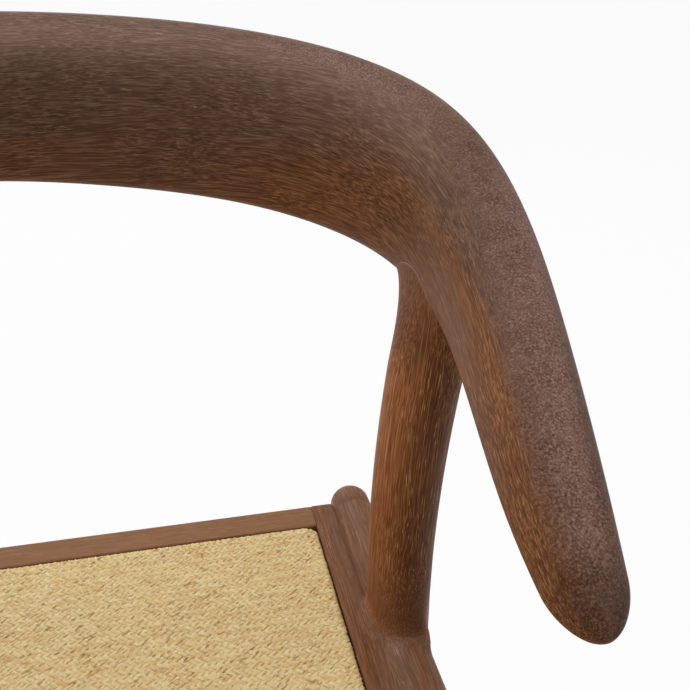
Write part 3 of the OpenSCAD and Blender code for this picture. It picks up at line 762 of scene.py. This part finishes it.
def rail_tone(t, a):
    """How light the rail is, with painted light and shade: its back and its arm each from outside to inside,
    lighter or darker by which way the surface faces, and darker towards the arm's tip.
    """
    back_tone = 0.75 + 0.1 * ease(160, 130, a) + 0.11 * ease(190, 215, a)
    back_tone = back_tone + 0.11 * bell(a, 170, 12) * ease(0.6, 1.6, t)
    arm_tone = 0.8 + 0.12 * ease(126, 164, a) + 0.15 * ease(126, 96, a)
    # Painted shade: the arm darker on its outside and towards its tip
    outside = ease(80, 42, a) * ease(3.0, 4.2, t) * (1 - 0.5 * ease(5.6, 6.5, t))
    tip = ease(6.4, 6.85, t) * ease(165, 120, a)
    tone = arm_tone + (back_tone - arm_tone) * ease(4.8, 3.4, t)
    return 1.25 * tone * (1 - 0.32 * tip) * (1 - 0.42 * outside)


def make_back_rail():
    half = np.concatenate([np.arange(0, joint_at - 0.07, ring_gap), joint_at - NEAR_JOINT[::-1]])
    share = drawn_in(half)
    right = rail_point(half[:, None], around[None, :], share[:, None])
    rings = np.vstack([right[:0:-1] * MIRROR, right])
    grain = rail_grain(half, share)
    grain = np.vstack([grain[:0:-1] * MIRROR, grain])
    looks = {key: np.vstack([value[:0:-1], value]) for key, value in rail_looks(half).items()}
    wood_piece("back_rail", "board", rings, grain, **looks)


def make_arm(side, flip):
    round_run = last_guide - tip_from
    straight = np.arange(joint_at + 0.085, tip_from, ring_gap)
    turn = tip_from + round_run * np.sin(np.radians(np.arange(0, 90, 4)))
    places = np.concatenate([joint_at + NEAR_JOINT, straight, turn, [last_guide - 0.0002]])
    round_off = np.sqrt(np.clip(1 - (np.maximum(places - tip_from, 0) / round_run) ** 2, 0, 1))
    share = round_off * drawn_in(places)
    rings = rail_point(places[:, None], around[None, :], share[:, None]) * flip
    grain = rail_grain(places, share) * flip
    wood_piece(side + "_arm", "board", rings, grain, **rail_looks(places))


make_back_rail()
both_sides(make_arm)


# Rear legs

leg_sides = 96
leg_turns = np.arange(leg_sides) * 2 * math.pi / leg_sides
leg_cos, leg_sin = np.cos(leg_turns), np.sin(leg_turns)
foot_steps = [0, 0.4, 1.2]
foot_insets = [1.2, 0.5, 0.0]
flare_from = seat_h + post_h - flare_h


def leg_heights():
    """Heights of the leg's rings, close together where it passes the seat frame."""
    return np.concatenate([glide_t + np.array(foot_steps), np.arange(glide_t + 4, seat_h - 50, 6),
                           np.linspace(seat_h - 50, seat_h + 30, 100, endpoint=False),
                           np.linspace(seat_h + 31, seat_h + 69, 19, endpoint=False),
                           np.arange(seat_h + 69, flare_from - 2, 4), [flare_from]])


def leg_body():
    """Circles up to the seat frame, the shared surface there, and circles up to the flare."""
    heights = leg_heights()
    z = heights[:, None] + 0 * leg_turns
    ax, ay = leg_axis(z)
    r = leg_radius(z)

    def place(rho):
        return ax + rho * leg_cos, ay + rho * leg_sin

    near = (heights > seat_h - 49) & (heights < toe_from + toe_h + 8)
    own = first_root(lambda rho: post_distance(*place(rho), z), r - 0.5, r + 30)
    widest = own + seam_reach(*place(own)) + 1.4
    shared = first_root(lambda rho: frame_distance(*place(rho), z, own_skin=True), r - 0.5, widest)
    rho = np.where(near[:, None], shared, r)
    to_seam = np.where(leg_cos < -0.1, (ax - seam_x - 0.1) / np.maximum(-leg_cos, 0.1), np.inf)
    cut = (heights > rail_bottom - 1) & (heights < seat_h - 0.6)
    rho = np.where(cut[:, None], np.minimum(rho, to_seam), rho)
    rho = rho - np.interp(heights, glide_t + np.array(foot_steps), foot_insets)[:, None]
    return join(*place(rho), z)


def mark_ring(k):
    """Oval on the underside of the arm, k the share of its size."""
    t = post_at - mark_half * k * leg_sin
    a = mark_a + mark_span * k * leg_cos
    p = rail_point(t, a)
    return p + face_gap * unit(p - rail_point(t, a, 0.9))


def flare_rings(low):
    """Curves that leave along the post and arrive along the arm's underside."""
    below_z = flare_from - 1
    x, y = leg_axis(below_z)
    r = leg_radius(below_z)
    below = join(x + r * leg_cos, y + r * leg_sin, below_z)
    high = mark_ring(1.0)
    leave = flare_h * (low - below)
    arrive = flare_pull * (high - mark_ring(0.8))
    u = np.concatenate([np.arange(0.04, 0.96, 0.04), [0.97, 0.98, 0.988, 0.994, 1.0]])[:, None, None]
    return ((2 * u ** 3 - 3 * u ** 2 + 1) * low + (u ** 3 - 2 * u ** 2 + u) * leave
            + (3 * u ** 2 - 2 * u ** 3) * high + (u ** 3 - u ** 2) * arrive)


def leg_rings():
    """All rings of a rear leg, and how many of them come before its top face."""
    body = leg_body()
    flare = flare_rings(body[-1])
    face = [mark_ring(k) for k in (0.9, 0.7, 0.5, 0.3, 0.1)]
    return np.vstack([body, flare, np.array(face)]), len(body) + len(flare)


def painted_highlight_spot(rings):
    """Share of a painted highlight on top of the bar, ahead of the post."""
    spot = bell(rings[:, :, 0], bar_mid_x - 9, 4.5) * bell(rings[:, :, 1], leg_y0 - 41, 8)
    return spot * ease(seat_h - 9, seat_h - 3, rings[:, :, 2])


def joint_glue(shape, rim):
    """Share of glue that shows round the top of the leg, on the side of the seat."""
    seen = ease(-0.85, -0.5, leg_sin) * ease(0.85, 0.45, leg_sin)
    seen = seen * ease(0, -0.3, leg_cos)
    glue = np.zeros(shape)
    glue[rim - 4:] = 2.2 * seen
    glue[rim - 5] = seen
    return glue


def make_rear_leg(side, flip, shift):
    rings, rim = leg_rings()
    height = rings[:, :, 2]
    # Painted light and shade: the post is darker on the side turned from the lamps and lighter on the lit
    # side, with more contrast higher up
    shade_side = np.tanh(2.0 * np.cos(leg_turns + 0.35))[None, :] + 0 * height
    deepest_shade = ease(-0.2, 0.8, shade_side)
    high = ease(seat_h + 55, seat_h + 175, height)
    flare = ease(flare_from - 10, seat_h + post_h - 6, height)
    base = ease(seat_h + 8, seat_h - 5, height) * ease(seat_h - 49, seat_h - 35, height)
    # Share by which the leg is made darker from a little above the seat frame down, apart from where it forms
    # the frame's surface
    foot = ease(seat_h + 47, seat_h + 19, height) * (1 - base)
    tone = 1.27 + 0.28 * high - (0.48 + 0.24 * high) * shade_side
    tone = tone + (1.15 - tone) * flare + (1.36 - tone) * base
    tone = tone * (1 - 0.2 * foot) * (1 + 0.06 * deepest_shade)
    fleck = (0.25 + 0.75 * ease(-0.7, 0.3, shade_side)) * (1 - 0.8 * base) * (1 - 0.7 * flare)
    plain = 0.22 * ease(0.3, -0.6, shade_side) * (1 - base) + 0.5 * base + 0.45 * foot
    # Painted sheen: some at the seat frame, less on the shaded side, and a painted highlight on the bar ahead
    # of the post
    bloom = 0.12 * base - 0.14 * deepest_shade * (1 - base) + 0.5 * painted_highlight_spot(rings)
    grain = board_grain(rings * flip, (0.05, -0.07, 1), shift)
    wood_piece(side + "_rear_leg", "turning", rings * flip, grain, tone=tone, bloom=bloom, plain=plain,
               glue=joint_glue(height.shape, rim), fleck=fleck * (1 - 0.6 * foot),
               warm=1 - 0.5 * base - 0.15 * flare)


both_sides(make_rear_leg, (1300, 30, 90), (1900, 230, 190))


# Outer bars and side rails

def along_frame(low, high):
    """Places along Y, close together round the post."""
    close_from, close_to = leg_y0 - close_ahead, leg_y0 + close_behind
    close = np.linspace(close_from, close_to, 150, endpoint=False)
    return np.concatenate([np.arange(low, close_from, 3), close, np.arange(close_to, high, 3), [high]])


def top_height(x, y):
    """Height of the shared surface where it isn't the leg's own skin."""
    top = seat_h + search_h
    return top - first_root(lambda d: -frame_distance(x, y, top - d), 0 * x, 0 * x + 50)


def arc(x, z, across_r, up_r, turns):
    """Points on a rounded edge with its middle at x and z, at turns in degrees."""
    turns = np.radians(turns)
    return join(x + across_r * np.cos(turns), z + up_r * np.sin(turns))


def bar_rings():
    """Rings along the outer bar, each from the seam over the top, down and back up."""
    fit = 0.02
    ends = bar_r * np.sin(np.radians([88, 80, 70, 60, 50, 40, 30, 20, 10]))
    y = np.sort(np.concatenate([bar_y0 - ends, [front_y - 0.1],
                                along_frame(front_y + fit, rear_y - fit),
                                [rear_y + 0.1], bar_y1 + ends]))
    mid_z = (crown_z + bar_bottom) / 2 + 7
    in_frame = (y > front_y) & (y < rear_y)
    half_w = np.sqrt(np.maximum(bar_r ** 2 - past_end(y) ** 2, 0.01))
    seam_z = top_height(np.full(y.shape, seam_x), np.clip(y, front_y + fit, rear_y - fit))
    start_x = np.where(in_frame, seam_x, bar_mid_x - half_w)
    start_z = np.where(in_frame, seam_z, crown_z)
    start = np.arctan2(start_z - mid_z, start_x - bar_mid_x)[:, None]
    stop = math.atan2(bar_bottom - mid_z, -bar_r * 0.96)
    share = np.concatenate([[0, 0.0006, 0.002, 0.005], np.linspace(0.01, 0.99, 78), [0.997, 1]])
    angle = start + (stop - start) * share
    yy = y[:, None] + 0 * angle

    def distance(rho):
        x = bar_mid_x + rho * np.cos(angle)
        z = mid_z + rho * np.sin(angle)
        plain = frame_distance(x, yy, z, with_rail=False)
        return np.where((angle > 0) & in_frame[:, None], frame_distance(x, yy, z), plain)

    rho = first_root(distance, 0 * angle, 0 * angle + 48)
    x = np.maximum(bar_mid_x + rho * np.cos(angle), start_x[:, None])
    curved = join(x, yy, mid_z + rho * np.sin(angle))
    rise = np.linspace(0, 1, 10)[1:-1, None]
    flat = curved[:, -1:] + (curved[:, :1] - curved[:, -1:]) * rise
    return np.concatenate([curved, flat], 1), y, in_frame


def make_outer_bar(side, flip, shift):
    rings, y, in_frame = bar_rings()
    tone = np.full(rings.shape[:2], 1.25)
    edge = (rings[:, :, 0] - seam_x < 1.0) & (in_frame & (y < leg_y0 - 15))[:, None]
    tone[edge] = 1.1
    # Painted sheen over the bar, with the painted highlight ahead of the post
    bloom = 0.15 + 0.5 * painted_highlight_spot(rings)
    wood_piece(side + "_outer_bar", "board", rings * flip, board_grain(rings * flip, (0, 1, 0), shift),
               tone=tone, warm=0.5, plain=0.5, bloom=bloom)


def side_rail_rings():
    """Rings along the side rail, each over its top to the seam and back underneath."""
    edge_r = 1.4
    draw_in = 0.4
    y = along_frame(front_y, rear_y)[1:-1]
    y = np.concatenate([[front_y, front_y + draw_in], y, [rear_y - draw_in, rear_y]])
    across = np.concatenate([np.arange(inner_x + edge_r, seam_x - 1.6, 0.55),
                             seam_x - np.array([1.2, 0.8, 0.5, 0.3, 0.15, 0])])
    inset = np.zeros(len(y))
    inset[[0, -1]] = draw_in
    top = top_height(*np.meshgrid(across, y)) - inset[:, None]
    low_z = rail_bottom + edge_r
    low_right = arc(seam_x - edge_r, low_z, edge_r, edge_r, np.arange(0, -91, -30))
    down = join(seam_x, [seat_h - 5, seat_h - 15, seat_h - 25, low_z + 0.6])
    rows = []
    for place, crest, shrink in zip(y, top, inset):
        edge_x, edge_z, wide_r = inner_x + edge_r, crest[0] - edge_r, edge_r - shrink
        high_left = arc(edge_x, edge_z, wide_r, edge_r, np.arange(180, 89, -15))
        low_left = arc(edge_x, low_z, wide_r, edge_r, np.arange(270, 179, -30))
        up = join(inner_x + shrink, [seat_h - 30, seat_h - 15, edge_z - 1])
        ring = np.vstack([high_left, join(across, crest)[1:], down, low_right, low_left, up])
        rows.append(join(ring[:, 0], place, ring[:, 1]))
    return np.array(rows), y


def make_side_rail(side, flip, shift):
    rings, y = side_rail_rings()
    near_seam = ease(seam_x - 0.8, seam_x - 0.3, rings[:, :, 0])
    ahead = ease(leg_y0 - 22, leg_y0 - 30, y)[:, None]
    glue = 0.6 * near_seam * ahead * (rings[:, :, 2] > seat_h - 8)
    wood_piece(side + "_side_rail", "board", rings * flip, board_grain(rings * flip, (0, 1, 0), shift),
               tone=1.26, glue=glue, warm=0.6, plain=0.45)


both_sides(make_outer_bar, (2300, 50, 40), (2900, 350, 140))
both_sides(make_side_rail, (3300, 20, 70), (3900, 420, 170))


# Front and rear seat rails

def rounded_profile(low, high, r):
    """Rounded rectangle as points, with a point close to each end of each corner."""
    corners = [(high[0] - r, high[1] - r), (low[0] + r, high[1] - r),
               (low[0] + r, low[1] + r), (high[0] - r, low[1] + r)]
    along = np.array([0.03, 0.2, 0.4, 0.6, 0.8, 0.97])[:, None]
    parts = []
    for n, corner in enumerate(corners):
        turned = arc(*corner, r, r, 90 * n + np.arange(0, 91, 15))
        to = arc(*corners[(n + 1) % 4], r, r, 90 * n + 90)
        parts += [turned, turned[-1] + (to - turned[-1]) * along]
    return np.vstack(parts)


def make_cross_rail(name, low, high, shift):
    profile = rounded_profile(low[1:], high[1:], 1.3)
    middle = profile.mean(0)
    end = high[0]
    x = np.concatenate([[-end, -end + 0.3], np.linspace(-end + 1, end - 1, 90), [end - 0.3, end]])
    share = np.where(np.abs(x) > end - 0.1, 0.99, 1.0)
    section = middle + (profile - middle) * share[:, None, None]
    rings = join(x[:, None], section[:, :, 0], section[:, :, 1])
    # Negative painted sheen: takes grey-blue out of these rails' colour
    wood_piece(name, "board", rings, board_grain(rings, (1, 0, 0), shift), tone=2.16, warm=0.1,
               plain=0.75, bloom=-0.4)


make_cross_rail("rear_seat_rail", cross_low, cross_high, (4300, 10, 30))
make_cross_rail("front_seat_rail", front_low, front_high, (4900, 110, 60))


# Front legs

def make_front_leg(side, flip, shift):
    turns = np.arange(72) * 2 * math.pi / 72
    neck_from = rail_bottom - 0.4
    k = np.concatenate([[0, 0.001, 0.003, 0.01], np.linspace(0.03, 1, 60)])
    belly = front_leg_d / 2 - (neck_d + foot_d) / 4
    radius = foot_d / 2 + (neck_d - foot_d) / 2 * k + belly * np.sin(math.pi * k)
    radius[:3] -= [1.2, 0.5, 0.1]
    heights = np.concatenate([glide_t + (neck_from - glide_t) * k, np.linspace(neck_from + 1, bar_bottom, 6)])
    radius = np.concatenate([radius, np.full(6, neck_d / 2)])[:, None]
    y = front_leg_y - front_foot_ahead * (1 - heights / bar_bottom)
    rings = flip * join(bar_mid_x + radius * np.cos(turns), y[:, None] + radius * np.sin(turns),
                        heights[:, None])
    wood_piece(side + "_front_leg", "turning", rings, board_grain(rings, (0, 0.03, 1), shift),
               tone=1.3, fleck=0.5, warm=1.0)


both_sides(make_front_leg, (5300, 30, 20), (5900, 330, 120))


# Woven palm mat

def panel_distance(x, y):
    """Signed distance to the mat's rounded outline."""
    qx = np.abs(x - mat_mid[0]) - mat_half[0] + mat_corner_r
    qy = np.abs(y - mat_mid[1]) - mat_half[1] + mat_corner_r
    outside = np.hypot(np.maximum(qx, 0), np.maximum(qy, 0))
    return outside + np.minimum(np.maximum(qx, qy), 0) - mat_corner_r


def strand_section(shoulder):
    """Points round a strand of width 1: across and up, as wide on top as shoulder says."""
    up = strand_t * 0.62
    down = -strand_t * 0.4
    return np.array([[-0.5, 0.0], [-0.5 * shoulder, up], [0.5 * shoulder, up],
                     [0.5, 0.0], [0.3, down], [-0.3, down]])


def strand_rings(number, sense):
    """Rings of one strand. Sense is 1 for the set that runs up to the right, -1 for the other."""
    along = np.array([math.cos(strand_angle), sense * math.sin(strand_angle)])
    normal = np.array([-along[1], along[0]])
    cross = np.array([math.sin(strand_angle), sense * math.cos(strand_angle)]) * sense
    start = mat_mid + number * strand_pitch * normal

    def beyond(s):
        return panel_distance(start[0] + s * along[0], start[1] + s * along[1])

    s = np.linspace(-300, 300, 241)
    inside = beyond(s)
    best = inside.argmin()
    if inside[best] > -3:
        return None
    ends = first_root(beyond, np.full(2, s[best]), [-320, 320])
    length = ends[1] - ends[0]
    s = np.linspace(ends[0], ends[1], max(6, int(length / (strand_pitch * 0.52))))
    bends = max(4, int(length / 9))

    def wander(count):
        return np.interp(s, np.linspace(ends[0], ends[1], count), draw.normal(0, 1, count))

    wobble = 0.22 * wander(bends)
    uneven = wander(3 * bends)
    x = start[0] + s * along[0] + wobble * normal[0]
    y = start[1] + s * along[1] + wobble * normal[1]
    crossed = ((x - mat_mid[0]) * cross[0] + (y - mat_mid[1]) * cross[1]) / strand_pitch
    wave = np.tanh(1.7 * np.cos(2 * math.pi * (number + crossed) / 4)) / math.tanh(1.7) * sense
    edge = np.clip(-panel_distance(x, y), 0, mat_edge_r)
    drop = mat_edge_r - np.sqrt(mat_edge_r ** 2 - (mat_edge_r - edge) ** 2)
    lift = strand_lift * (0.85 if sense > 0 else 1.15)
    z = mat_top - 0.37 - 0.04 * sense + lift * wave * (1 + 0.35 * uneven) - 0.04 * np.abs(uneven) - drop
    width = (strand_w - 0.08 * sense) * (1 + 0.1 * wander(bends))
    section = strand_section(0.7 if sense > 0 else 0.92)
    side = section[:, 0] * width[:, None]
    ring = join(x[:, None] + side * normal[0], y[:, None] + side * normal[1], z[:, None] + section[:, 1])
    return ring, join(s[:, None], side, number * 3.7 + rising_from * (sense + 1))


def make_strands(name, sense, numbers):
    """Several strands as one object."""
    points, quads, quad_uvs, triangles, triangle_uvs, strips, shades = [], [], [], [], [], [], []
    fan = np.array([[0, k + 1, k] for k in range(1, strand_sides - 1)])
    step = 0.9 / len(numbers) / strand_sides
    base = 0
    for row, number in enumerate(numbers):
        made = strand_rings(number, sense)
        if made is None:
            continue
        ring, strip = made
        m = len(ring)
        low = row / len(numbers)
        faces, uv = tube_faces(low + step * np.arange(strand_sides + 1), np.linspace(0.005, 0.995, m))
        quads.append(base + faces)
        quad_uvs.append(uv[:, :, ::-1])
        triangles += [base + fan, base + (m - 1) * strand_sides + fan[:, ::-1]]
        for spot in (0.002, 0.998):
            triangle_uvs += [[[spot, low], [spot, low + step], [spot, low + 2 * step]]] * len(fan)
        points.append(ring.reshape(-1, 3))
        strips.append(strip.reshape(-1, 3))
        shades.append(np.full(m * strand_sides, draw.random()))
        base += m * strand_sides
    made = write_mesh(name, np.vstack(points), np.vstack(quads), np.vstack(triangles), np.vstack(quad_uvs),
                      np.array(triangle_uvs), {"strip": np.vstack(strips), "shade": np.concatenate(shades)})
    finish_piece(made, palm_mat, ["seat_mat"])


def make_mat():
    reach = mat_half[0] * math.sin(strand_angle) + mat_half[1] * math.cos(strand_angle)
    last = int(reach / strand_pitch)
    for sense, word in ((1, "rising"), (-1, "falling")):
        for part, group in enumerate(np.array_split(np.arange(-last, last + 1), strand_groups)):
            make_strands(f"mat_{word}_strands_{part + 1}", sense, group)
    make_mat_base()


def mat_outline(inset, z):
    """The mat's outline drawn in by inset, at height z."""
    r = max(mat_corner_r - inset, 0.5)
    half = mat_half - inset - r
    corners = []
    for n, signs in enumerate(((1, 1), (-1, 1), (-1, -1), (1, -1))):
        corners.append(arc(*(mat_mid + half * signs), r, r, 90 * n + np.arange(0, 91, 6)))
    return join(*np.vstack(corners).T, z)


def make_mat_base():
    """Thin felted layer under the strands."""
    heights = [(1.4, mat_low[2]), (0.6, mat_low[2] + 0.05), (0.35, mat_low[2] + 0.4),
               (0.9, mat_top - 1.6), (2.6, mat_top - 0.95), (5.0, mat_top - 0.85)]
    rings = np.array([mat_outline(inset, z) for inset, z in heights])
    strip = rings[:, :, [0, 2, 1]] * [1, 0, 1]
    made = skin("mat_backing", rings, {"strip": strip, "shade": np.zeros(rings.shape[:2])})
    finish_piece(made, palm_mat, ["seat_mat"])


make_mat()


# Parts kept from the frame

KEPT = ((pale_wood, ("rail_tenons", "arm_dowels", "frame_dowels", "left_cleat", "right_cleat",
                     "front_cleat", "rear_cleat", "corner_blocks")),
        (plywood, ("seat_board",)),
        (screw_steel, ("bar_screws", "leg_screws", "cleat_screws", "corner_block_screws",
                       "seat_screws", "glide_nails")),
        (glide_plastic, ("foot_glides",)))
for material, names in KEPT:
    for name in names:
        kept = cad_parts[name].data.materials
        kept.clear()
        kept.append(material)


# Floor, light and camera

def seen_directly(tree):
    """1 for rays from the camera, straight or by way of a reflection or a clear piece."""
    path = put(tree, "LightPath").outputs
    bent = calc(tree, "MAXIMUM", path["Is Glossy Ray"], path["Is Transmission Ray"])
    return calc(tree, "MAXIMUM", path["Is Camera Ray"], bent)


def make_floor():
    bpy.ops.mesh.primitive_plane_add(size=60, location=(0, 0, 0))
    floor = bpy.context.object
    floor.name = "floor"
    made = bpy.data.materials.new("floor_white")
    made.use_nodes = True
    tree = made.node_tree
    tree.nodes.clear()
    shown = times(tree, seen_directly(tree), 0.94)
    diffuse = put(tree, "BsdfDiffuse", {"Color": (0.86, 0.86, 0.86, 1)}).outputs[0]
    glow = put(tree, "Emission", {"Color": (1, 1, 1, 1), "Strength": 1.0}).outputs[0]
    blended = put(tree, "MixShader", {0: shown, 1: diffuse, 2: glow}).outputs[0]
    put(tree, "OutputMaterial", {"Surface": blended})
    floor.data.materials.append(made)


def make_world():
    world = bpy.data.worlds.new("studio")
    bpy.context.scene.world = world
    world.use_nodes = True
    tree = world.node_tree
    tree.nodes.clear()
    white = put(tree, "Background", {"Color": (1, 1, 1, 1), "Strength": 1.0}).outputs[0]
    soft_light = put(tree, "Background", {"Color": (1, 1, 1, 1), "Strength": 0.37}).outputs[0]
    blended = put(tree, "MixShader", {0: seen_directly(tree), 1: soft_light, 2: white}).outputs[0]
    put(tree, "OutputWorld", {"Surface": blended})


def add_area(name, place, target, size, power):
    light = bpy.data.lights.new(name, "AREA")
    light.shape = "DISK"
    light.size = size
    light.energy = power
    made = bpy.data.objects.new(name, light)
    bpy.context.scene.collection.objects.link(made)
    made.location = place
    made.rotation_euler = (Vector(target) - Vector(place)).to_track_quat("-Z", "Y").to_euler()


def make_lights():
    middle = (0, 0, 0.6)
    add_area("top_light", (-0.5, 1.0, 2.9), middle, 1.9, 25)
    add_area("left_light", (-2.6, 0.2, 1.0), middle, 1.6, 13)
    add_area("back_light", (-0.2, 2.8, 1.7), middle, 1.9, 18)
    add_area("right_light", (2.6, 0.2, 1.7), middle, 1.9, 3)


focal = 900
picture = 690
pitch = math.radians(26.39)
yaw = math.radians(12.42)
camera_x = 117
camera_ahead = 532.7
camera_above = 400


def make_camera():
    data = bpy.data.cameras.new("camera")
    data.sensor_width = 36
    data.lens = focal / picture * data.sensor_width
    data.clip_start = 0.01
    made = bpy.data.objects.new("camera", data)
    bpy.context.scene.collection.objects.link(made)
    ahead = Vector((math.sin(yaw) * math.cos(pitch), math.cos(yaw) * math.cos(pitch), -math.sin(pitch)))
    right = Vector((math.cos(yaw), -math.sin(yaw), 0))
    up = right.cross(ahead)
    turn = Matrix((right, up, -ahead)).transposed()
    place = Vector((camera_x, rear_y - camera_ahead, seat_h + camera_above)) * MM
    made.matrix_world = Matrix.Translation(place) @ turn.to_4x4()
    bpy.context.scene.camera = made


make_floor()
make_world()
make_lights()
make_camera()
bpy.context.scene.view_settings.view_transform = "Standard"
